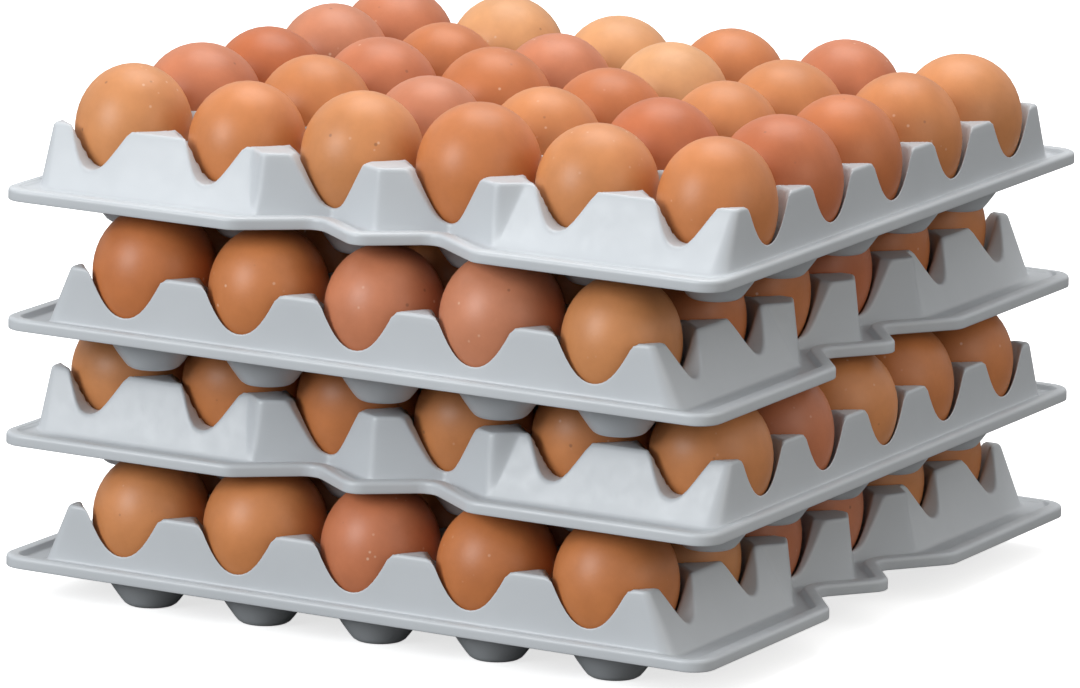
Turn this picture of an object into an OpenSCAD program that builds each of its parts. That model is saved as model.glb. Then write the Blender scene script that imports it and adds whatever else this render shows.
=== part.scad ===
// Stack of four plastic egg trays, each turned a quarter turn to the one
// below and filled with thirty eggs that carry the tray above.
// Tray frame: X runs along the six cups, Y along the five, and Z = 0 is the
// lower edge of the rim. The stack stands on the cup floors of its lowest tray.

/* [Tray grid] */
// Distance between the centres of neighbouring cups
cell_pitch = 48.5; // [47.5:0.5:52]
// Thickness of the moulded sheet
sheet = 1.2; // [0.8:0.1:1.6]
// Height of the posts above the lower edge of the rim
post_height = 25.4; // [23:0.2:28]

/* [Cups] */
// Depth of the cup floors below the lower edge of the rim
cup_depth = 12.8; // [11:0.2:15]
// Radius of the flat floor inside a cup
floor_r = 8.2; // [6:0.2:10]
// Height of the bend low in the cup, from the lower edge of the rim
bend_z = -5; // [-7:0.5:-3]
// Radius inside the cup at that bend
bend_r = 13.8; // [13:0.2:15]
// Height of the upper bend in the cup
waist_z = 9.8; // [8:0.2:12]
// Radius inside the cup at the upper bend
waist_r = 21.6; // [21:0.1:22.4]
// Radius inside the cup at the height of the post tops
mouth_r = 25.8; // [25:0.1:27]

/* [Walls] */
// Distance from the end cups' centres to the foot of the end wall
end_wall = 21.8; // [21:0.1:23]
// Inward lean of the end wall over its height
end_lean = 1; // [0.5:0.1:2]
// Distance from the side cups' centres to the foot of the side wall
side_wall = 36; // [35:0.5:38]
// Inward lean of the side wall over its height
side_lean = 12; // [9:0.5:13]
// Distance from the side cups' centres to the foot of the upright posts
prow_wall = 34.5; // [34:0.5:36]
// Inward lean of those posts over their height
prow_lean = 3.5; // [2:0.5:5]
// How far the front edges of those posts lie behind their plane
prow_edge_set = 0.3; // [0.2:0.1:1]
// Width of the slanted face beside the outer two of them
prow_side_w = 8; // [6:0.5:10]

/* [Scallops in the side walls] */
// Height of a scallop's flat bottom above the lower edge of the rim
scallop_z = 10.8; // [10:0.2:14]
// Width of that flat bottom
scallop_floor_w = 8; // [6:0.5:10]
// Width of the scallop at the height of the post tops
scallop_top_w = 25; // [22:0.5:28]
// How much lower the scallops in the finger notches lie
notch_drop = 4.4; // [3:0.2:4.8]

/* [Rim] */
// Width of the rim along the end walls
end_rim = 5.2; // [4.5:0.1:7]
// Width of the rim along the side walls
side_rim = 14; // [12:0.5:16]
// Height of the rim's outer band
rim_h = 4.6; // [4:0.2:5.4]
// Width of the raised outer band
band_w = 5; // [4:0.2:6]
// Depth of the channel between that band and the side wall
channel_depth = 2.2; // [1.4:0.2:2.4]
// Radius of the rounded corners of the rim
rim_corner_r = 9; // [6:0.5:10]

/* [Finger notches] */
// Depth of the notch in the outer edge of the rim
notch_rim_depth = 19.5; // [15:0.5:21]
// Depth of the notch in the side wall
notch_wall_depth = 13; // [10:0.5:14]
// Reach of the notches to each side of the tray's middle, at the rim
notch_reach = 50; // [48.5:0.5:54]
// Radius of the hollow corner at the bottom of a notch
notch_corner_r = 7; // [4:0.5:9]

/* [Eggs] */
// Width of an ordinary egg
egg_w = 44.8; // [43:0.2:46]
// Length of an ordinary egg
egg_len = 54.4; // [52:0.2:57]
// Spread of the eggs' widths and lengths about the ordinary ones
egg_spread = 1.2; // [0:0.2:1.4]
// How much fuller the blunt upper end is than the pointed lower one
egg_taper = 0.09; // [0.05:0.01:0.12]
// Width of the large eggs that carry the tray above
carrier_w = 47; // [46:0.1:47.4]
// Length of the large eggs of layer 1
carrier_len_1 = 59.2; // [54:0.1:64]
// Length of the large eggs of layer 2
carrier_len_2 = 55.1; // [54:0.1:64]
// Length of the large eggs of layer 3
carrier_len_3 = 62.8; // [54:0.1:64]
// Gap left between an egg and what it touches
egg_gap = 0.3; // [0.2:0.05:0.4]

/* [Hidden] */
$fn = 48;
// Four trays, thirty eggs in each, drawn by the row.
layers = 4;
cups_long = 6;
cups_short = 5;
// Overshoot of a cutting shape past the face that it cuts.
past = 1;

// Half sizes of the tray between the end and side cups' centres.
half_long = (cups_long - 1) / 2 * cell_pitch;
half_short = (cups_short - 1) / 2 * cell_pitch;
// Half sizes at the foot of the walls and at the edge of the rim.
wall_x = half_long + end_wall;
wall_y = half_short + side_wall;
prow_y = half_short + prow_wall;
rim_x = wall_x + end_rim;
rim_y = wall_y + side_rim;
// Distance from a post's centre to the four cups round it.
post_reach = cell_pitch / sqrt(2);
// Floor and underside of the channel in the rim.
channel_z = rim_h - channel_depth;
channel_under = channel_z - sheet;

// Inside of a cup as [height, radius], from the floor to above the mouth.
mouth_slope = (mouth_r - waist_r) / (post_height - waist_z);
cup_in = [
    [-cup_depth + sheet, floor_r],
    [bend_z, bend_r],
    [waist_z, waist_r],
    [post_height, mouth_r],
    [post_height + past, mouth_r + past * mouth_slope]
];
// Outside of a cup: one sheet further out and one sheet lower.
cup_out = [
    [-cup_depth, floor_r + sheet],
    [bend_z, bend_r + sheet],
    [waist_z, waist_r + sheet],
    [post_height, mouth_r + sheet],
    [post_height + past, mouth_r + sheet + past * mouth_slope]
];
// The part of the outside that hangs below the rim.
cup_low = [
    cup_out[0],
    cup_out[1],
    [channel_z, lookup(channel_z, cup_out)]
];
// Height at which a cup surface has a given radius.
function swap(rows) = [for (p = rows) [p[1], p[0]]];
function z_at(rows, r) = lookup(r, swap(rows));

// Half outline of an egg standing on its pointed end, as [radius, height].
egg_steps = 18;
function egg_outline(w, len) = [
    for (i = [0 : egg_steps])
    let (s = -cos(180 * i / egg_steps))
    [w / 2 * sqrt(max(0, 1 - s * s)) * (1 + egg_taper * s), len / 2 * (1 + s)]
];
// Height of an egg's lower end in its tray: the outline rests on the cup.
function egg_seat(w, len) = max([
    for (p = egg_outline(w, len))
    (p[0] + egg_gap > floor_r ? z_at(cup_in, p[0] + egg_gap) : sheet - cup_depth)
    + egg_gap - p[1]
]);
// Height from a tray to the one above, whose post stands over the egg.
function tray_rise(w, len) = max([
    for (p = egg_outline(w, len))
    p[1] + egg_seat(w, len) - z_at(cup_out, post_reach - p[0] - egg_gap) + egg_gap
]);

// Large eggs stand in the second and fifth cup of rows 2 and 4.
function carrier_len(k) = [carrier_len_1, carrier_len_2, carrier_len_3][k - 1];
function is_carrier(k, j, i) = k < layers && (j == 2 || j == 4) && (i == 2 || i == 5);
// Height of tray k + 1 above tray k, and of each tray above the ground.
function rise(k) = tray_rise(carrier_w, carrier_len(k));
function tray_z(k) = k == 1 ? cup_depth : tray_z(k - 1) + rise(k - 1);
// The other eggs differ a little in size from cup to cup.
function wave(k, j, i) = sin(137 * (k * 31 + j * 7 + i));
function free_len(k, j, i) = egg_len + egg_spread * wave(k, j, i);
function free_w(k, j, i) = egg_w + egg_spread * wave(i, k, j);
// How far an end cup's egg would rise into the side wall of the tray above.
function excess(k, w, len) = egg_seat(w, len) + len + egg_gap - rise(k) - channel_under;
// An end cup's egg is shorter by that much, and by what its seat rises.
seat_rise = 1.5;
function end_len(k, w, len) = len - seat_rise * max(0, excess(k, w, len));
function is_end(k, i) = k < layers && (i == 1 || i == cups_long);
function width_of(k, j, i) = is_carrier(k, j, i) ? carrier_w : free_w(k, j, i);
function len_of(k, j, i) = is_carrier(k, j, i) ? carrier_len(k)
    : is_end(k, i) ? end_len(k, free_w(k, j, i), free_len(k, j, i))
    : free_len(k, j, i);

// Block of the walls' size, inset by a margin, whose four flat sides lean
// inward as they rise.
module leaning_block(z0, z1, inset) {
    x0 = wall_x - inset - end_lean * z0 / post_height;
    y0 = wall_y - inset - side_lean * z0 / post_height;
    x1 = wall_x - inset - end_lean * z1 / post_height;
    y1 = wall_y - inset - side_lean * z1 / post_height;
    polyhedron(
        points = [
            [-x0, -y0, z0], [x0, -y0, z0], [x0, y0, z0], [-x0, y0, z0],
            [-x1, -y1, z1], [x1, -y1, z1], [x1, y1, z1], [-x1, y1, z1]
        ],
        faces = [
            [0, 1, 2, 3], [7, 6, 5, 4], [0, 4, 5, 1],
            [1, 5, 6, 2], [2, 6, 7, 3], [3, 7, 4, 0]
        ]
    );
}

// Block of the upright posts beside and between the finger notches, with
// slanted outer sides.
module prow_block(z0, z1, inset) {
    y0 = prow_y - inset - prow_lean * z0 / post_height;
    y1 = prow_y - inset - prow_lean * z1 / post_height;
    drop = wall_y - side_lean - (prow_y - prow_lean);
    x_in = cell_pitch;
    x_out = cell_pitch + prow_side_w;
    polyhedron(
        points = [
            [-x_in, -y0, z0], [x_in, -y0, z0], [x_out, -y0 - drop, z0], [x_out, y0 + drop, z0],
            [x_in, y0, z0], [-x_in, y0, z0], [-x_out, y0 + drop, z0], [-x_out, -y0 - drop, z0],
            [-x_in, -y1, z1], [x_in, -y1, z1], [x_out, -y1 - drop, z1], [x_out, y1 + drop, z1],
            [x_in, y1, z1], [-x_in, y1, z1], [-x_out, y1 + drop, z1], [-x_out, -y1 - drop, z1]
        ],
        faces = [
            [0, 1, 2, 3, 4, 5, 6, 7], [15, 14, 13, 12, 11, 10, 9, 8],
            for (i = [0 : 7]) [i, i + 8, (i + 1) % 8 + 8, (i + 1) % 8]
        ]
    );
}

// Both blocks together.
module wall_solid(z0, z1, inset) {
    leaning_block(z0, z1, inset);
    prow_block(z0, z1, inset);
}

// One cup's shape, turned from its profile and closed on the axis.
module cup_shape(rows) {
    rotate_extrude()
        polygon(concat(
            [[0, rows[0][0]]],
            [for (p = rows) [p[1], p[0]]],
            [[0, rows[len(rows) - 1][0]]]
        ));
}

// All thirty cups of a tray.
module cups(rows) {
    for (i = [0 : cups_long - 1], j = [0 : cups_short - 1])
        translate([i * cell_pitch - half_long, j * cell_pitch - half_short, 0])
            cup_shape(rows);
}

// The two middle cups at each side wall.
module middle_cups(rows) {
    for (x = [-cell_pitch / 2, cell_pitch / 2], y = [-half_short, half_short])
        translate([x, y, 0]) cup_shape(rows);
}

// Cross-section of a scallop, grown by a margin.
module scallop_section(drop, grow) {
    low = scallop_z - drop - grow;
    slope = (scallop_top_w - scallop_floor_w) / 2 / (post_height - scallop_z);
    half_floor = scallop_floor_w / 2 + grow;
    half_top = half_floor + slope * (post_height + past - low);
    polygon([
        [-half_floor, low], [half_floor, low],
        [half_top, post_height + past], [-half_top, post_height + past]
    ]);
}

// Scallops through both side walls, one before each side cup.
module scallops(grow) {
    for (side = [0, 180], i = [0 : cups_long - 1]) {
        middle = abs(i - (cups_long - 1) / 2) < 1;
        rotate([0, 0, side])
            translate([i * cell_pitch - half_long, half_short, 0])
                mirror([0, 1, 0])
                    rotate([90, 0, 0])
                        linear_extrude(height = side_wall + past)
                            scallop_section(middle ? notch_drop : 0, grow);
    }
}

// Outline of the rim before its corners are rounded.
module rim_plan() {
    difference() {
        square([2 * rim_x, 2 * rim_y], center = true);
        for (side = [-1, 1])
            polygon([
                [-notch_reach, side * rim_y],
                [-cell_pitch / 2, side * (rim_y - notch_rim_depth)],
                [0, side * (rim_y - past)],
                [cell_pitch / 2, side * (rim_y - notch_rim_depth)],
                [notch_reach, side * rim_y],
                [notch_reach, side * (rim_y + past)],
                [-notch_reach, side * (rim_y + past)]
            ]);
    }
}

// Outline of the rim with rounded corners, drawn in from its edge.
module rim_outline(inset) {
    offset(delta = -inset)
        offset(r = -notch_corner_r)
            offset(delta = notch_corner_r)
                offset(r = rim_corner_r)
                    offset(delta = -rim_corner_r)
                        rim_plan();
}

// Prism over an outline whose upper end is shifted by an amount in Y.
module leaning_prism(outline, z0, z1, shift) {
    n = len(outline);
    polyhedron(
        points = concat(
            [for (p = outline) [p[0], p[1], z0]],
            [for (p = outline) [p[0], p[1] - shift, z1]]
        ),
        faces = concat(
            [[for (i = [0 : n - 1]) i], [for (i = [n - 1 : -1 : 0]) i + n]],
            [for (i = [0 : n - 1]) [i, i + n, (i + 1) % n + n, (i + 1) % n]]
        )
    );
}

// Wedges that the finger notches take out of both side walls, grown by a
// margin. Their faces lean as the upright posts do.
module wall_notches(grow) {
    top_z = post_height + 2 * past;
    slope = notch_wall_depth / (cell_pitch / 2);
    y = prow_y - prow_edge_set - grow * sqrt(1 + slope * slope)
        + prow_lean * past / post_height;
    out_x = cell_pitch + prow_side_w;
    out_y = y + slope * prow_side_w / 2;
    far_y = wall_y + 8 * past;
    for (side = [0, 180])
        rotate([0, 0, side])
            leaning_prism(
                [
                    [-out_x, far_y], [-out_x, out_y], [-cell_pitch, y],
                    [-cell_pitch / 2, y - notch_wall_depth], [0, y],
                    [cell_pitch / 2, y - notch_wall_depth],
                    [cell_pitch, y], [out_x, out_y], [out_x, far_y]
                ],
                -past, top_z, prow_lean * (top_z + past) / post_height
            );
}

// Rim: a band with a turned-down edge, and a channel beside the side walls.
module rim() {
    difference() {
        linear_extrude(height = rim_h) rim_outline(0);
        translate([0, 0, channel_z])
            linear_extrude(height = channel_depth + past) rim_outline(band_w + sheet);
        translate([0, 0, -past])
            linear_extrude(height = channel_under + past) rim_outline(sheet);
        difference() {
            linear_extrude(height = rim_h - sheet) rim_outline(sheet);
            translate([0, 0, -past])
                linear_extrude(height = rim_h + past) rim_outline(band_w);
        }
    }
}

// Walls and posts as one block, before they are hollowed.
module wall_block() {
    difference() {
        wall_solid(channel_under, post_height, 0);
        difference() {
            wall_notches(0);
            middle_cups(cup_out);
        }
    }
}

// Hollow under the posts and walls, open below.
module under_hollow() {
    difference() {
        wall_solid(-past, post_height - sheet, sheet);
        wall_notches(sheet);
        cups(cup_out);
        scallops(sheet);
    }
}

// A whole tray in its own frame.
module tray_shape() {
    difference() {
        union() {
            rim();
            wall_block();
            cups(cup_low);
        }
        under_hollow();
        cups(cup_in);
        scallops(0);
    }
}

// Tray k in the stack, turned a quarter turn if its number is odd.
module tray(k) {
    color("lightgrey")
        translate([0, 0, tray_z(k)])
            rotate([0, 0, k % 2 == 1 ? -90 : 0])
                tray_shape();
}

// One egg, standing blunt end up in cup i of row j of layer k.
module egg(k, j, i) {
    w = width_of(k, j, i);
    len = len_of(k, j, i);
    translate([
        (i - 1) * cell_pitch - half_long,
        (j - 1) * cell_pitch - half_short,
        egg_seat(w, len)
    ])
        rotate_extrude() polygon(egg_outline(w, len));
}

// Row j of eggs in layer k.
module egg_row(k, j) {
    color("peru")
        translate([0, 0, tray_z(k)])
            rotate([0, 0, k % 2 == 1 ? -90 : 0])
                for (i = [1 : cups_long]) egg(k, j, i);
}

for (k = [1 : layers])
    tray(k);
for (k = [1 : layers], j = [1 : cups_short])
    egg_row(k, j);
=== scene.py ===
# %% [markdown]
# # A stack of egg trays
# Four grey plastic trays of five by six cups stand on each other, each turned
# a quarter turn to the one below and filled with brown hen's eggs. The packed
# model gives every solid in metres; this script dresses it: smooth moulded
# skins for the trays, smooth shells for the eggs, and a plain studio.

# %% Load the frame
import math

import bpy
import numpy as np
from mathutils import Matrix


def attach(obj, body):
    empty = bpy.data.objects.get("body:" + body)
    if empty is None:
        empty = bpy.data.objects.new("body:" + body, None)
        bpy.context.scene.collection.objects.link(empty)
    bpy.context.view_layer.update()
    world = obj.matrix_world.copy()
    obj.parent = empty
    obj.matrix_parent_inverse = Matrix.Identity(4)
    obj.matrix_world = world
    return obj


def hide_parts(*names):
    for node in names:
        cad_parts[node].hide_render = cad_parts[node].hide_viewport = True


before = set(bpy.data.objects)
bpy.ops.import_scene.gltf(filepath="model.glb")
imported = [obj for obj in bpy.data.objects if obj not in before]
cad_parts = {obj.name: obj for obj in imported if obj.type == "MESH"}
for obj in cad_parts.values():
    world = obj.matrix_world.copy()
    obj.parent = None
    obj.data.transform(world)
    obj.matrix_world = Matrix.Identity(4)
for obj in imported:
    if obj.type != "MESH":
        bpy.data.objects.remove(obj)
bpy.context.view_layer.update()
MM = 0.001


# %% [markdown]
# ## The camera
# The photograph was taken from some four metres away with a long lens, a
# little above the stack and turned towards its near corner. Its place, its
# three directions and its focal length come from matching corners, rims and
# scallops of the trays to where they lie in the picture.

# %% Camera
from mathutils import Matrix, Vector

CAMERA_AT = np.array([1640.70, -2997.53, 832.87]) * MM
TURN = math.radians(28.731)  # turn to the left of looking along +Y
DROP = math.radians(12.304)  # how far it looks down
ROLL = math.radians(1.175)
FOCAL_PX = 9398.8
PICTURE_W = 1080
SENSOR_W = 36.0

right = np.array([math.cos(TURN), math.sin(TURN), 0.0])
ahead = np.array([
    -math.sin(TURN) * math.cos(DROP),
    math.cos(TURN) * math.cos(DROP),
    -math.sin(DROP),
])
above = np.cross(right, ahead)
right, above = (
    math.cos(ROLL) * right + math.sin(ROLL) * above,
    -math.sin(ROLL) * right + math.cos(ROLL) * above,
)
lens = bpy.data.cameras.new("camera")
lens.sensor_fit = "HORIZONTAL"
lens.sensor_width = SENSOR_W
lens.lens = FOCAL_PX / PICTURE_W * SENSOR_W
lens.clip_end = 100.0
camera = bpy.data.objects.new("camera", lens)
pose = np.eye(4)
pose[:3] = np.column_stack([right, above, -ahead, CAMERA_AT])
camera.matrix_world = Matrix(pose.tolist())
bpy.context.scene.collection.objects.link(camera)
bpy.context.scene.camera = camera
print("camera at", CAMERA_AT, "lens", round(lens.lens, 1))

# %% [markdown]
# ## Node helpers
# A material here is a small graph of nodes. Writing it as a function keeps
# each finish readable: make the node, set its sockets, join them.

# %% Material helpers


def finish(name):
    """A new material, as (material, nodes, links, shader)."""
    mat = bpy.data.materials.new(name)
    mat.use_nodes = True
    nodes, links = mat.node_tree.nodes, mat.node_tree.links
    return mat, nodes, links, nodes["Principled BSDF"]


def add(nodes, kind, **sockets):
    """A node with some of its inputs set; underscores stand for spaces."""
    node = nodes.new(kind)
    for key, value in sockets.items():
        node.inputs[key.replace("_", " ")].default_value = value
    return node


def ramp(nodes, links, source, stops):
    """A colour ramp over a factor; stops are (place, colour)."""
    node = nodes.new("ShaderNodeValToRGB")
    element = node.color_ramp.elements
    while len(element) < len(stops):
        element.new(0.5)
    for slot, (place, colour) in zip(element, stops):
        slot.position = place
        slot.color = (*colour, 1.0)
    links.new(source, node.inputs["Fac"])
    return node.outputs["Color"]


def blend(nodes, links, kind, factor, a, b):
    """Mix of two colours; each of factor, a and b is a socket or a value."""
    node = nodes.new("ShaderNodeMix")
    node.data_type = "RGBA"
    node.blend_type = kind
    for place, value in ((0, factor), (6, a), (7, b)):
        if isinstance(value, bpy.types.NodeSocket):
            links.new(value, node.inputs[place])
        else:
            node.inputs[place].default_value = value
    return node.outputs[2]


# %% [markdown]
# ## Moulded plastic
# The trays are moulded from a glossy light grey plastic. Real mouldings are
# never one flat grey: the sheet is a little uneven, so its reflections swim,
# and handling leaves faint dull patches. Large soft noise moves the colour and
# the roughness a few percent, and a shallow bump makes the gloss uneven.

# %% Tray plastic
plastic, nodes, links, shader = finish("moulded_grey_plastic")
place = nodes.new("ShaderNodeTexCoord").outputs["Object"]
cloud = add(nodes, "ShaderNodeTexNoise", Scale=9.0, Detail=3.0, Roughness=0.55)
links.new(place, cloud.inputs["Vector"])
grain = add(nodes, "ShaderNodeTexNoise", Scale=160.0, Detail=3.0, Roughness=0.6)
links.new(place, grain.inputs["Vector"])
tint = ramp(nodes, links, cloud.outputs["Fac"], [
    (0.3, (0.47, 0.495, 0.52)),
    (0.7, (0.53, 0.555, 0.58)),
])
links.new(tint, shader.inputs["Base Color"])
dull = add(
    nodes, "ShaderNodeMapRange", From_Min=0.3, From_Max=0.7, To_Min=0.34, To_Max=0.46
)
links.new(grain.outputs["Fac"], dull.inputs["Value"])
links.new(dull.outputs["Result"], shader.inputs["Roughness"])
bump = add(nodes, "ShaderNodeBump", Strength=0.012, Distance=0.0006)
links.new(cloud.outputs["Fac"], bump.inputs["Height"])
links.new(bump.outputs["Normal"], shader.inputs["Normal"])
shader.inputs["IOR"].default_value = 1.49
print("plastic made with", len(nodes), "nodes")

# %% [markdown]
# ## Egg shell
# A brown shell is chalky but lightly polished, so it shows one wide soft
# highlight. No two eggs share a colour: each egg carries its own tone as an
# attribute that its whole surface shares, and the ramp turns the tone into
# tan, orange-brown or red-brown. Soft clouds, fine pores and a few pale and
# dark specks lie over that.

# %% Shell material
shell, nodes, links, shader = finish("brown_egg_shell")
place = nodes.new("ShaderNodeTexCoord").outputs["Object"]
tone = nodes.new("ShaderNodeAttribute")
tone.attribute_name = "tone"
base = ramp(nodes, links, tone.outputs["Fac"], [
    (0.0, (0.66, 0.36, 0.17)),
    (0.08, (0.60, 0.26, 0.10)),
    (0.4, (0.56, 0.205, 0.068)),
    (0.8, (0.47, 0.125, 0.038)),
    (1.0, (0.55, 0.215, 0.115)),
])
cloud = add(nodes, "ShaderNodeTexNoise", Scale=45.0, Detail=4.0, Roughness=0.6)
links.new(place, cloud.inputs["Vector"])
shade = ramp(nodes, links, cloud.outputs["Fac"], [
    (0.3, (0.88, 0.86, 0.85)),
    (0.7, (1.1, 1.1, 1.1)),
])
tinted = blend(nodes, links, "MULTIPLY", 1.0, base, shade)
fleck = add(nodes, "ShaderNodeTexVoronoi", Scale=190.0)
links.new(place, fleck.inputs["Vector"])
fleck_here = add(nodes, "ShaderNodeTexNoise", Scale=26.0, Detail=1.0)
links.new(place, fleck_here.inputs["Vector"])
pale = ramp(nodes, links, fleck.outputs["Distance"], [
    (0.06, (1, 1, 1)),
    (0.13, (0, 0, 0)),
])
where = ramp(nodes, links, fleck_here.outputs["Fac"], [
    (0.56, (0, 0, 0)),
    (0.66, (0.7, 0.7, 0.7)),
])
pale_mask = blend(nodes, links, "MULTIPLY", 1.0, pale, where)
flecked = blend(nodes, links, "MIX", pale_mask, tinted, (0.72, 0.48, 0.34, 1.0))
speck = add(nodes, "ShaderNodeTexVoronoi", Scale=75.0)
links.new(place, speck.inputs["Vector"])
dark = ramp(nodes, links, speck.outputs["Distance"], [
    (0.03, (1, 1, 1)),
    (0.06, (0, 0, 0)),
])
dark_mask = blend(nodes, links, "MULTIPLY", 1.0, dark, (0.55, 0.55, 0.55, 1.0))
speckled = blend(nodes, links, "MIX", dark_mask, flecked, (0.2, 0.08, 0.045, 1.0))
links.new(speckled, shader.inputs["Base Color"])
pores = add(nodes, "ShaderNodeTexNoise", Scale=900.0, Detail=2.0)
links.new(place, pores.inputs["Vector"])
bump = add(nodes, "ShaderNodeBump", Strength=0.12, Distance=0.0003)
links.new(pores.outputs["Fac"], bump.inputs["Height"])
links.new(bump.outputs["Normal"], shader.inputs["Normal"])
shader.inputs["Roughness"].default_value = 0.42
shader.inputs["IOR"].default_value = 1.45
print("shell made with", len(nodes), "nodes")

# %% [markdown]
# ## The eggs
# An egg is a circle whose radius follows a half outline: a half ellipse that
# is made fuller towards the blunt end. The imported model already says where
# each egg stands and how big it is, so the sizes are read from its solids, and
# only the faceted skin is replaced by a smooth one. One mesh holds a row.

# %% Egg surfaces
PITCH = 48.5 * MM
IN_A_ROW = 6
TAPER = 0.09
AROUND = 40
ALONG = 26
FULLEST = 1.004  # the widest ring, as a share of the width before the taper


def egg_points(centre_x, centre_y, low, high, width):
    """Grid of an egg's points.

    With s from -1 at the pointed end to 1 at the blunt end, the radius is
    half the width times the root of (1 - s squared) times (1 + TAPER s), and
    the height runs evenly with s. Rows are close together near the ends.
    """
    s = -np.cos(np.linspace(0, np.pi, ALONG))[1:-1]
    turn = np.linspace(0, 2 * np.pi, AROUND, endpoint=False)
    radius = width / 2 * np.sqrt(1 - s * s) * (1 + TAPER * s)
    x = centre_x + radius[:, None] * np.cos(turn)
    y = centre_y + radius[:, None] * np.sin(turn)
    z = np.broadcast_to((low + (high - low) / 2 * (1 + s))[:, None], x.shape)
    rings = np.stack([x, y, z], -1).reshape(-1, 3)
    return np.vstack([rings, [[centre_x, centre_y, low], [centre_x, centre_y, high]]])


def egg_faces(start):
    """Faces of one egg's grid: quads between rings, triangles to both ends."""
    rows = ALONG - 2
    i, j = np.meshgrid(np.arange(rows - 1), np.arange(AROUND), indexing="ij")
    k = (j + 1) % AROUND
    low, high = i * AROUND, (i + 1) * AROUND
    quads = np.stack([low + j, low + k, high + k, high + j], -1).reshape(-1, 4)
    a = np.arange(AROUND)
    b = (a + 1) % AROUND
    last = (rows - 1) * AROUND
    bottom = np.stack([np.full(AROUND, rows * AROUND), b, a], -1)
    top = np.stack([np.full(AROUND, rows * AROUND + 1), a + last, b + last], -1)
    return [face for part in (quads, bottom, top) for face in (part + start).tolist()]


def solid_points(node):
    """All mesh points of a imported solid, in metres."""
    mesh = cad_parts[node].data
    flat = np.empty(len(mesh.vertices) * 3, dtype=np.float64)
    mesh.vertices.foreach_get("co", flat)
    return flat.reshape(-1, 3)


def smooth_piece(name, points, faces, material):
    """A new object at the origin with smooth shading and one material."""
    mesh = bpy.data.meshes.new(name)
    mesh.from_pydata(points, [], faces)
    mesh.materials.append(material)
    mesh.polygons.foreach_set("use_smooth", np.ones(len(mesh.polygons), dtype=bool))
    mesh.update()
    piece = bpy.data.objects.new(name, mesh)
    bpy.context.scene.collection.objects.link(piece)
    return piece


# %% [markdown]
# Every egg's place comes from its cell and its size from its solid. Its tone
# is drawn with a fixed seed, so the same eggs come out each time.

# %% Eggs
draw = np.random.default_rng(30)
for node in sorted(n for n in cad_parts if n.startswith("eggs_")):
    points = solid_points(node)
    along = 0 if np.ptp(points[:, 0]) > np.ptp(points[:, 1]) else 1
    across = points[:, 1 - along]
    middle = (across.min() + across.max()) / 2
    cell = np.round(points[:, along] / PITCH + 2.5).astype(int)
    all_points, all_faces, tones = [], [], []
    for n in range(IN_A_ROW):
        own = points[cell == n]
        centre = [0.0, 0.0]
        centre[along] = (n - 2.5) * PITCH
        centre[1 - along] = round(middle / PITCH) * PITCH
        reach = np.hypot(own[:, 0] - centre[0], own[:, 1] - centre[1]).max()
        egg = egg_points(*centre, own[:, 2].min(), own[:, 2].max(), 2 * reach / FULLEST)
        all_faces += egg_faces(sum(len(p) for p in all_points))
        all_points.append(egg)
        tones.append(np.full(len(egg), draw.uniform()))
    piece = smooth_piece("shells_" + node, np.vstack(all_points), all_faces, shell)
    tone_layer = piece.data.attributes.new("tone", "FLOAT", "POINT")
    tone_layer.data.foreach_set("value", np.concatenate(tones))
    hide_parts(node)
    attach(piece, "root")
print("eggs made")

# %% [markdown]
# ## The trays
# A tray is one thin moulded sheet: cups, hollow posts between them, leaning
# walls, and a rim with a raised band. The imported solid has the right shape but
# sharp edges, while a moulding is rounded at every bend, and those small radii
# catch the light. So the sheet is worked out again as a surface, in the tray's
# own frame and in millimetres. Its upper face is a height over the plan, its
# walls and rim are a strip that runs round the tray, and its underside is the
# same surface one thickness further in.

# %% Tray sizes
CELL = 48.5
SHEET = 1.2
POST_H = 25.4
CUP_DEPTH = 12.8
CUP_Z = np.array([SHEET - CUP_DEPTH, -5.0, 9.8, POST_H])
CUP_R = np.array([8.2, 13.8, 21.6, 25.8])
HALF_LONG, HALF_SHORT = 2.5 * CELL, 2 * CELL
RIM_X, RIM_Y = HALF_LONG + 27.0, HALF_SHORT + 50.0
BAND_TOP, CHANNEL = 4.6, 2.4
WALL_X, WALL_Y, PROW_Y = 143.05, 133.0, 131.5  # feet of end, side and notch walls
END_LEAN, SIDE_LEAN, PROW_LEAN = 1.0, 12.0, 3.5  # how far they lean in
NOTCH_DEPTH = 13.0
LOW_SCALLOP, SCALLOP, FLANK = 6.4, 10.8, 1.718  # two bottoms and a steepness
SCALLOP_HALF, FLARE = 4.0, 0.75  # half a bottom's width, and how fast it bends up
BLUR = 9.0  # width of the bell curve that rounds a cup's bends, in 0.1 mm
CRISP = 1.7  # how sharp the edges between cups and posts stay
print("tray rim", 2 * RIM_X, "by", 2 * RIM_Y, "mm")

# %% [markdown]
# The inside of a cup rises in three slopes, and blurring that profile rounds
# its bends. Where cups meet each other, a post's top or a scallop, the lowest
# of the heights wins. A soft minimum rounds the edge that they make.

# %% Height of the sheet


def cup_profile(inset):
    """Radii and heights of a cup's face, with its bends blurred by a bell curve."""
    r = np.arange(0, 60, 0.1)
    steep = (CUP_Z[3] - CUP_Z[2]) / (CUP_R[3] - CUP_R[2])
    knots = np.append(CUP_Z, POST_H + 40 * steep)
    knots[0] -= inset
    z = np.interp(r, np.append(CUP_R, CUP_R[3] + 40) + inset, knots)
    bell = np.exp(-0.5 * (np.arange(-30, 31) / BLUR) ** 2)
    padded = np.concatenate([z[30:0:-1], z, np.full(30, z[-1])])
    return r, np.convolve(padded, bell / bell.sum(), "valid")


PROFILE = {inset: cup_profile(inset) for inset in (0.0, SHEET)}


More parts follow.
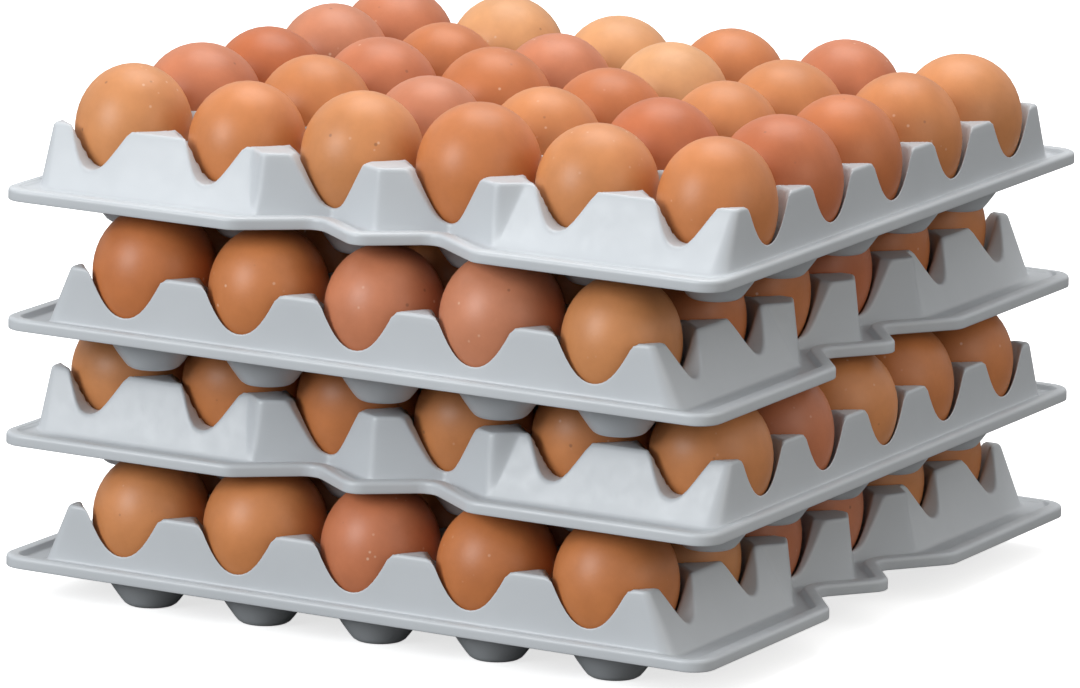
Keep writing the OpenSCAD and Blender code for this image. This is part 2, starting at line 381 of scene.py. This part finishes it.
def sheet_height(x, y, i, j, inset):
    """Height of the sheet over plan points in cell i, j.

    It is the soft minimum, minus the logarithm of a sum of exponentials, of
    the flat post top, the profiles of this cup and its four neighbours, and
    before a side wall the scallop, whose flanks rise evenly from its floor.
    """
    levels = [np.full(x.shape, POST_H - inset)]
    for a, b in ((i, j), (i + 1, j), (i - 1, j), (i, j + 1), (i, j - 1)):
        reach = np.hypot(x - (a * CELL - HALF_LONG), y - (b * CELL - HALF_SHORT))
        inside = (a >= 0) & (a <= 5) & (b >= 0) & (b <= 4)
        levels.append(np.where(inside, np.interp(reach, *PROFILE[inset]), 99.0))
    off = np.abs(x - (i * CELL - HALF_LONG))
    out = np.abs(y) - HALF_SHORT
    low = np.where((i == 2) | (i == 3), LOW_SCALLOP, SCALLOP) - inset
    slot = low + FLANK * np.logaddexp(0, FLARE * (off - SCALLOP_HALF - inset)) / FLARE
    slot = slot + 3 * np.maximum(0, 6 - out)  # it only cuts near the wall
    levels = np.stack(levels + [np.where((j == 0) | (j == 4), slot, 99.0)])
    lowest = levels.min(0)
    return lowest - np.log(np.exp(-CRISP * (levels - lowest)).sum(0)) / CRISP


print("cup profile of", len(PROFILE[0.0][0]), "steps")


# %% [markdown]
# Walls and rim follow outlines of straight stretches with rounded corners. All
# outlines are sampled by one rule, so point n of one belongs to point n of the
# next and a strip can be spanned between them. A quarter of an outline has
# eight corners: two at cell borders, the tray's corner, one more cell border,
# then the slanted side, the edge and the hollow of a finger notch, and the
# edge in its middle. The rest is mirrored.

# %% Outlines


def round_tray(quarter):
    """A quarter's eight corners carried round all thirty.

    Points are mirrored, and plain values are repeated.
    """
    q = np.asarray(quarter, float)
    back = q[-2::-1]
    turns = [(1, 1), (-1, 1), (-1, -1), (1, -1)] if q.ndim == 2 else [1, 1, 1, 1]
    return np.concatenate([part * turn for part, turn in zip((q, back, q, back), turns)])


RUN = [24, 24, 24, 22, 20, 3, 12, 12]  # points on the stretch before each corner
RUNS = np.array(RUN + RUN[:0:-1] + RUN + RUN[:0:-1])
ARCS = round_tray([1, 1, 9, 1, 3, 5, 5, 5]).astype(int)  # points round each corner
STARTS = np.cumsum(RUNS + np.append(0, ARCS[:-1]))
ROUND = int(STARTS[-1] + ARCS[-1])


def outline(quarter, radii, end_inset, side_inset):
    """Closed outline with rounded corners, drawn in at its ends and at its sides.

    Edges with inward normals a and b that move in by p and q meet at the
    corner plus a (p - c q) / (1 - c c) plus b (q - c p) / (1 - c c), where c
    is a times b. An arc that touches both edges then replaces the corner.
    """
    corner = round_tray(quarter)
    step = corner - np.roll(corner, 1, 0)
    way = step / np.linalg.norm(step, axis=1, keepdims=True)
    onward = np.roll(way, -1, 0)
    a = np.stack([-way[:, 1], way[:, 0]], -1)
    b = np.roll(a, -1, 0)
    p = np.where(np.abs(way[:, 1]) > 0.95, end_inset, side_inset)
    q = np.roll(p, -1)
    c = (a * b).sum(1)
    bent = c < 0.9999
    spread = np.where(bent, 1 - c * c, 1.0)
    corner = corner + np.where(bent, (p - c * q) / spread, p)[:, None] * a
    corner = corner + np.where(bent, (q - c * p) / spread, 0.0)[:, None] * b
    turn = np.arccos(np.clip(c, -1, 1))
    side = np.sign(way[:, 0] * onward[:, 1] - way[:, 1] * onward[:, 0])
    radius = np.maximum(round_tray(radii) - side * np.minimum(p, q), 0.3)
    reach = radius * np.tan(turn / 2)
    arcs = []
    for k, count in enumerate(ARCS):
        t = np.linspace(0, 1, count)[:, None] if count > 1 else np.array([[0.5]])
        if count > 1 and turn[k] > 0.01:
            centre = corner[k] - way[k] * reach[k] + side[k] * radius[k] * a[k]
            spoke = np.sin((1 - t) * turn[k]) * a[k] + np.sin(t * turn[k]) * b[k]
            arcs.append(centre - side[k] * radius[k] * (spoke / np.sin(turn[k])))
        else:
            arcs.append(corner[k] + (t - 0.5) * 0.5 * way[k])
    full = []
    for k, arc in enumerate(arcs):
        t = np.arange(1, RUNS[k] + 1)[:, None] / (RUNS[k] + 1)
        full += [arcs[k - 1][-1] * (1 - t) + arc[0] * t, arc]
    return np.vstack(full)


def wall_line(z, inset):
    """Outline of the walls at height z: each side leans in evenly as it rises."""
    f = z / POST_H
    ex, sy, py = WALL_X - END_LEAN * f, WALL_Y - SIDE_LEAN * f, PROW_Y - PROW_LEAN * f
    quarter = [
        (ex, CELL / 2), (ex, 1.5 * CELL), (ex, sy), (2 * CELL, sy),
        (50.5 + 6 * f, sy), (CELL, py), (CELL / 2, py - NOTCH_DEPTH), (0, py),
    ]
    radii = [0, 0, 7 - 4.2 * f, 0, 2.5, 4.5 - f, 3, 4.5 - f]
    return outline(quarter, radii, inset, inset)


def rim_row(end_inset, side_inset, z):
    """Points of the rim at an inset for its ends, one for its sides, and a height."""
    quarter = [
        (RIM_X, CELL / 2), (RIM_X, 1.5 * CELL), (RIM_X, RIM_Y), (2 * CELL, RIM_Y),
        (60, RIM_Y), (50, RIM_Y), (CELL / 2, 127.5), (0, 146),
    ]
    line = outline(quarter, [0, 0, 9, 0, 0, 9, 7, 7], end_inset, side_inset)
    return np.column_stack([line, np.broadcast_to(z, ROUND)])


print(ROUND, "points round a tray")

# %% [markdown]
# Each point of the wall belongs to the outer cell behind it. The wall ends
# upward where it runs into the sheet. That height is found by going back and
# forth between the two: the wall's place at a height, then the sheet's height
# at that place. Then the strip's rows go from the rounded edge down the wall,
# over the fillet, the channel and the raised band to the lip.

# %% Walls and rim
BORDER_CELLS = np.array([
    (5, 3), (5, 4), (4, 4), (3, 4), (2, 4), (1, 4), (0, 4), (0, 3), (0, 2),
    (0, 1), (0, 0), (1, 0), (2, 0), (3, 0), (4, 0), (5, 0), (5, 1), (5, 2),
])
AT_BORDERS = [0, 1, 3, 5, 7, 9, 11, 13, 14, 15, 16, 18, 20, 22, 24, 26, 28, 29]
KNOTS = (STARTS + ARCS // 2)[AT_BORDERS]
COLUMN = np.arange(ROUND)
CELL_I, CELL_J = BORDER_CELLS[np.searchsorted(KNOTS, COLUMN, side="right") - 1].T
BENDS = STARTS[[2, 12, 17, 27]]  # the four rounded corners
AT_END = np.interp(
    COLUMN, np.stack([BENDS, BENDS + 8], -1).ravel(), [1, 0, 0, 1, 1, 0, 0, 1]
)  # 1 along the ends, 0 along the sides
WALL_Z = np.linspace(-1, POST_H + 1, 34)
EASE, EASE_DOWN = 1.1, 1.5  # reach of the rounded edge, inward and down
FILLET = 1.2  # reach of the rounding between wall and channel


def wall_table(inset):
    """Wall outlines over height, kept outside the cups that the notches lay bare."""
    table = np.stack([wall_line(z, inset) for z in WALL_Z])
    centre = np.stack([CELL_I * CELL - HALF_LONG, CELL_J * CELL - HALF_SHORT], -1)
    reach = np.linalg.norm(table - centre, axis=2)
    least = (np.interp(WALL_Z, [-CUP_DEPTH, *CUP_Z[1:]], CUP_R + SHEET) - inset)[:, None]
    bare = ((CELL_I == 2) | (CELL_I == 3)) & ((CELL_J == 0) | (CELL_J == 4))
    grow = np.where(bare, np.maximum(1, least / reach), 1.0)
    return centre + (table - centre) * grow[..., None]


WALLS = {inset: wall_table(inset) for inset in (0.0, EASE, SHEET, -FILLET)}


def on_wall(z, inset=0.0):
    """Points of the wall at a height for each column, between the two nearest outlines."""
    z = np.broadcast_to(z, ROUND)
    k = np.clip((z - WALL_Z[0]) / (WALL_Z[1] - WALL_Z[0]), 0, len(WALL_Z) - 1.001)
    low, part, table = k.astype(int), (k % 1)[:, None], WALLS[inset]
    xy = table[low, COLUMN] * (1 - part) + table[low + 1, COLUMN] * part
    return np.column_stack([xy, z])


def wall_top(inset):
    """Height at which the wall meets the sheet, by fourteen half steps towards it."""
    z = np.full(ROUND, 20.0)
    for _ in range(14):
        p = on_wall(z, inset)
        z = (z + sheet_height(p[:, 0], p[:, 1], CELL_I, CELL_J, inset)) / 2
    return np.clip(z, 2.6, POST_H)


def brink(z, inset):
    """Points of the sheet just inside the wall."""
    p = on_wall(z, inset)
    face = SHEET if inset == SHEET else 0.0
    p[:, 2] = sheet_height(p[:, 0], p[:, 1], CELL_I, CELL_J, face)
    return p


def bend(a, b, c, steps):
    """Rows of a quadratic curve from a to c drawn towards b, without its first."""
    t = np.arange(1, steps + 1)[:, None, None] / steps
    return list((1 - t) ** 2 * a + 2 * t * (1 - t) * b + t * t * c)


print(len(WALL_Z), "wall outlines of", ROUND, "points")

# %% [markdown]
# The numbers below are the insets of the rim's rows from its edge, first at the
# ends and then at the sides, and their heights. Both strips share their last
# row, at the lower edge of the lip.

# %% Rows of the strip
top = wall_top(0.0)
crest = brink(top, EASE)
below = np.maximum(top - EASE_DOWN, 3.2)
channel = CHANNEL + 1.6 * AT_END
base = np.minimum(channel + FILLET, below - 0.1)
heel = on_wall(channel)
toe = heel + (on_wall(channel, -FILLET) - heel) * (1 - 0.55 * AT_END)[:, None]
upper = [crest] + bend(crest, on_wall(top), on_wall(below), 4)
upper += [on_wall(below + (base - below) * t) for t in np.linspace(0, 1, 8)[1:]]
upper += bend(on_wall(base), heel, toe, 3)
upper += [rim_row(4.5, 7.0, channel), rim_row(4.3, 6.4, channel + 0.1)]
upper += bend(upper[-1], rim_row(3.9, 5.7, channel + 0.2), rim_row(3.5, 5.1, 4.3), 2)
upper += bend(upper[-1], rim_row(3.3, 4.8, BAND_TOP), rim_row(2.9, 4.2, BAND_TOP), 3)
upper += [rim_row(1.7, 1.9, BAND_TOP)]
upper += bend(upper[-1], rim_row(0, 0, BAND_TOP), rim_row(0, 0, 2.9), 6)
upper += [rim_row(0, 0, 1.2), rim_row(0, 0, 0.4)]
upper += bend(upper[-1], rim_row(0, 0, 0), rim_row(0.5, 0.5, 0), 3)
under_top = wall_top(SHEET)
under_foot = np.minimum(channel - SHEET, under_top - 0.3)
under = [brink(under_top, SHEET)]
under_drop = under_foot - under_top
under += [on_wall(under_top + under_drop * t, SHEET) for t in (0.25, 0.5, 0.75, 1.0)]
under += [rim_row(5.0, 6.4, channel - SHEET)]
under += [rim_row(4.7, 5.8, 3.2), rim_row(4.3, 5.2, 3.4), rim_row(1.9, 1.9, 3.4)]
under += [rim_row(1.2, 1.2, 2.8), rim_row(1.2, 1.2, 0.4), rim_row(0.9, 0.9, 0)]
under += [upper[-1]]
print("strip of", len(upper), "rows above and", len(under), "below")

# %% [markdown]
# A cell's patch starts as small circles on the cup's axis and grows into the
# cell's border, which is straight towards a neighbour and follows the strip's
# first row at a wall. Neighbours share their border points, so after welding
# the tray is one closed skin without seams.

# %% Cups
RINGS = np.array([5, 6.6, 7.6, 8.6, 9.8, 11.4, 12.8, 14, 15.4])
UNDER_RINGS = np.array([6, 8.8, 9.8, 11, 13.6, 15])
BANDS = np.array([0, 0.14, 0.28, 0.41, 0.52, 0.61, 0.68, 0.74, 0.8, 0.88, 1.0])
FIRST_BAND, LAST_BAND = 17, 28.5  # radii between which the bands lie
SIDE_POINTS = 12
WELD = 0.004  # distance within which points are one


def stretch(a, b):
    """Even points from a to b, without b."""
    return a + (b - a) * (np.arange(SIDE_POINTS) / SIDE_POINTS)[:, None]


def cell_border(i, j, shelf):
    """Border of a cell, anticlockwise, with the strip's own points at a wall."""
    square = np.array([(-1, -1), (1, -1), (1, 1), (-1, 1)])
    corners = (square + (2 * i - 5, 2 * j - 4)) * CELL / 2
    hit = np.nonzero((BORDER_CELLS == (i, j)).all(1))[0]
    if len(hit) == 0:
        return np.vstack([stretch(corners[k - 1], corners[k]) for k in range(4)])
    a, b = KNOTS[hit[0]], KNOTS[(hit[0] + 1) % len(KNOTS)]
    arc = np.arange(a, b + 1 if b > a else b + 1 + ROUND) % ROUND
    posts = corners[(np.abs(corners) < (HALF_LONG, HALF_SHORT)).all(1)]
    posts = posts[np.argsort(np.linalg.norm(posts - shelf[b, :2], axis=1))]
    way = np.vstack([shelf[b, :2], posts, shelf[a, :2]])
    rest = [stretch(way[m], way[m + 1]) for m in range(len(way) - 1)]
    return np.vstack([shelf[arc, :2], np.vstack(rest)[1:]])


def cup_patch(i, j, shelf, inset, rings):
    """Grid of a cell: circles near the axis, then rings that close in on its border."""
    centre = np.array([i * CELL - HALF_LONG, j * CELL - HALF_SHORT])
    spoke = cell_border(i, j, shelf) - centre
    reach = np.linalg.norm(spoke, axis=1)
    close = np.minimum(reach, LAST_BAND)
    radii = [np.full(len(reach), r) for r in (0.001, *rings)]
    radii += list(FIRST_BAND + (close - FIRST_BAND) * BANDS[:, None])
    radii += [close + (reach - close) * t for t in (1 / 3, 2 / 3, 1)]
    xy = centre + spoke * (np.stack(radii) / reach)[..., None]
    z = sheet_height(xy[..., 0], xy[..., 1], np.int64(i), np.int64(j), inset)
    return np.dstack([xy, z])


def collect(grids, turned):
    """Points and quads of grids whose rows close on themselves.

    The quads of turned grids face the other way.
    """
    points, faces, start = [], [], 0
    for grid in grids:
        rows, columns = grid.shape[:2]
        r, c = np.meshgrid(np.arange(rows - 1), np.arange(columns), indexing="ij")
        n = (c + 1) % columns
        here, next_row = r * columns, (r + 1) * columns
        quads = np.stack([here + c, next_row + c, next_row + n, here + n], -1)
        quads = quads.reshape(-1, 4) + start
        faces.append(quads[:, ::-1] if turned else quads)
        points.append(grid.reshape(-1, 3))
        start += rows * columns
    return np.vstack(points), np.vstack(faces)


def weld(points, faces):
    """Joins points within a few micrometres and drops quads that shrink to a line."""
    places = np.round(points / WELD).astype(int)
    _, first, same = np.unique(places, axis=0, return_index=True, return_inverse=True)
    faces = same.ravel()[faces]
    ranked = np.sort(faces, 1)
    return points[first], faces[(ranked[:, 1:] != ranked[:, :-1]).sum(1) >= 2]


def as_polygons(faces):
    """Faces as lists, with the repeated corner of a triangle left out."""
    whole = (faces != np.roll(faces, 1, 1)).all(1)
    quads, rest = faces[whole], faces[~whole]
    keep = rest != np.roll(rest, 1, 1)
    return quads.tolist() + rest[keep].reshape(-1, 3).tolist()


cells = [(i, j) for i in range(6) for j in range(5)]
above_grids = [cup_patch(i, j, crest, 0.0, RINGS) for i, j in cells]
above_grids += [np.stack(upper)]
below_grids = [cup_patch(i, j, under[0], SHEET, UNDER_RINGS) for i, j in cells]
below_grids += [np.stack(under)]
above_points, above_faces = collect(above_grids, False)
below_points, below_faces = collect(below_grids, True)
tray_points, tray_faces = weld(
    np.vstack([above_points, below_points]),
    np.vstack([above_faces, below_faces + len(above_points)]),
)
tray_polygons = as_polygons(tray_faces)
print("tray skin of", len(tray_points), "points and", len(tray_polygons), "faces")

# %% [markdown]
# The four trays share one skin. Every second one is turned a quarter turn, and
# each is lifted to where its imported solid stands.

# %% Trays
for node in sorted(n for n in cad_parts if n.startswith("tray_")):
    foot = solid_points(node)[:, 2].min() / MM
    placed = tray_points.copy()
    if int(node[-1]) % 2:  # the first and third tray are the turned ones
        placed = placed[:, [1, 0, 2]] * (1, -1, 1)
    placed[:, 2] += foot + CUP_DEPTH
    piece = smooth_piece("skin_" + node, placed * MM, tray_polygons, plastic)
    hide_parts(node)
    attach(piece, "root")
print("trays made")

# %% [markdown]
# ## The studio
# The stack stands on white. A wide floor keeps its soft shadow. To the camera
# it is white, and to every other ray it is dark, so that it throws no white
# light up into the trays.

# %% Floor
floor_mat, nodes, links, shader = finish("studio_white")
shader.inputs["Base Color"].default_value = (0.09, 0.09, 0.09, 1.0)
shader.inputs["Roughness"].default_value = 0.9
seen = nodes.new("ShaderNodeLightPath")
shine = add(nodes, "ShaderNodeEmission", Strength=0.72)
matt = add(nodes, "ShaderNodeBsdfDiffuse", Color=(0.75, 0.75, 0.75, 1.0))
both = nodes.new("ShaderNodeAddShader")
links.new(shine.outputs[0], both.inputs[0])
links.new(matt.outputs[0], both.inputs[1])
choose = nodes.new("ShaderNodeMixShader")
links.new(seen.outputs["Is Camera Ray"], choose.inputs[0])
links.new(shader.outputs[0], choose.inputs[1])
links.new(both.outputs[0], choose.inputs[2])
links.new(choose.outputs[0], nodes["Material Output"].inputs["Surface"])
FLOOR = 6.0
floor = smooth_piece(
    "studio_floor",
    [(-FLOOR, -FLOOR, 0), (FLOOR, -FLOOR, 0), (FLOOR, FLOOR, 0), (-FLOOR, FLOOR, 0)],
    [(0, 1, 2, 3)],
    floor_mat,
)
print("floor", 2 * FLOOR, "m wide")

# %% [markdown]
# The light comes mostly from the front left, so the left sides look bright and
# cool. One above opens the eggs' tops, and a weak warm one keeps the right
# sides grey. All are wide, because the photograph's highlights are soft.

# %% Lights


def softbox(name, at, aim, size, power, colour=(1.0, 1.0, 1.0)):
    """A square area light of a given size that points at a place."""
    data = bpy.data.lights.new(name, "AREA")
    data.size = size
    data.energy = power
    data.color = colour
    lamp = bpy.data.objects.new(name, data)
    lamp.location = at
    lamp.rotation_euler = (Vector(aim) - Vector(at)).to_track_quat("-Z", "Y").to_euler()
    bpy.context.scene.collection.objects.link(lamp)
    print(name, power, "W")


STACK = (0, 0, 0.1)
softbox("front_left", (-1.15, -2.45, 1.25), STACK, 1.3, 50.0, (0.95, 0.98, 1.0))
softbox("overhead", (-0.2, 0.6, 2.2), STACK, 1.6, 30.0)
softbox("warm_side", (2.6, -0.6, 1.0), STACK, 1.4, 9.0, (1.0, 0.94, 0.84))

# %% [markdown]
# The air lights everything evenly from above and is dimmer at the horizon and
# below, which darkens the gaps between the trays. The camera sees it as white.

# %% Air
world = bpy.data.worlds.new("studio_air")
world.use_nodes = True
nodes, links = world.node_tree.nodes, world.node_tree.links
air = nodes["Background"]
air.inputs["Strength"].default_value = 0.74
facing = nodes.new("ShaderNodeTexCoord")
split = nodes.new("ShaderNodeSeparateXYZ")
links.new(facing.outputs["Generated"], split.inputs[0])
dim = ramp(nodes, links, split.outputs["Z"], [
    (0.0, (0.5, 0.5, 0.5)),
    (0.35, (1.0, 1.0, 1.0)),
])
links.new(dim, air.inputs["Color"])
seen = nodes.new("ShaderNodeLightPath")
white = add(nodes, "ShaderNodeBackground", Color=(1.0, 1.0, 1.0, 1.0))
choose = nodes.new("ShaderNodeMixShader")
links.new(seen.outputs["Is Camera Ray"], choose.inputs[0])
links.new(air.outputs[0], choose.inputs[1])
links.new(white.outputs[0], choose.inputs[2])
links.new(choose.outputs[0], nodes["World Output"].inputs["Surface"])
bpy.context.scene.world = world
bpy.context.scene.view_settings.view_transform = "Standard"
print("air made with", len(nodes), "nodes")
